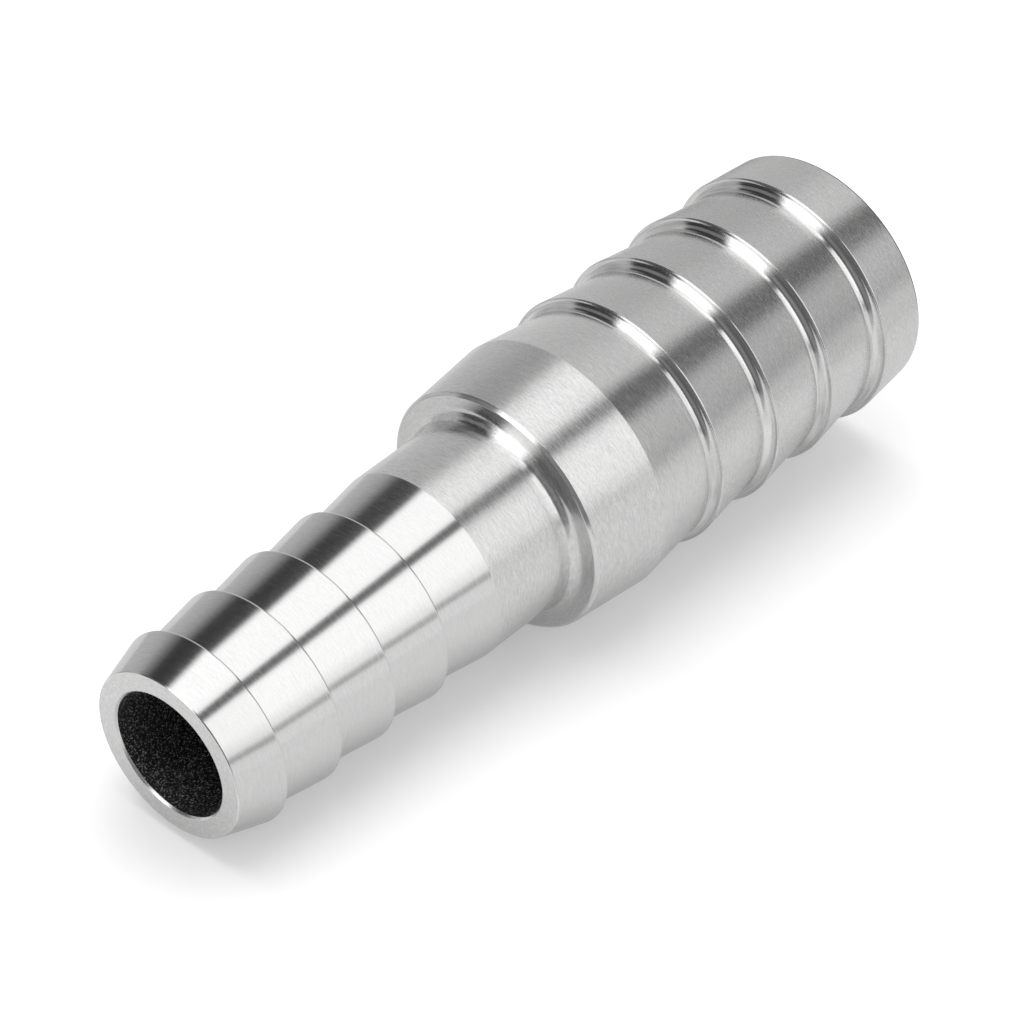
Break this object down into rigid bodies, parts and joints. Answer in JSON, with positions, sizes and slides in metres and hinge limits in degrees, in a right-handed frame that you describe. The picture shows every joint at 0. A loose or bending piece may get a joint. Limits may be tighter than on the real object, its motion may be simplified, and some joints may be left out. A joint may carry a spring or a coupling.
{
  "type": "hose barb reducer",
  "caption": "Turned steel hose barb reducer: a small barbed tail, a plain neck, a ridged collar and a large barbed tail, with a stepped bore right through.",
  "frame": {"origin": "centre of the large tail's end face, which the part stands on", "axes": "+Z along the bore axis, towards the small tail"},
  "size_m": [0.0174, 0.0174, 0.0585],
  "materials": {
    "stainless_steel": "fine turned, satin"
  },
  "bodies": {
    "root": {"hose_barb_reducer": "stainless_steel"}
  },
  "joints": []
}
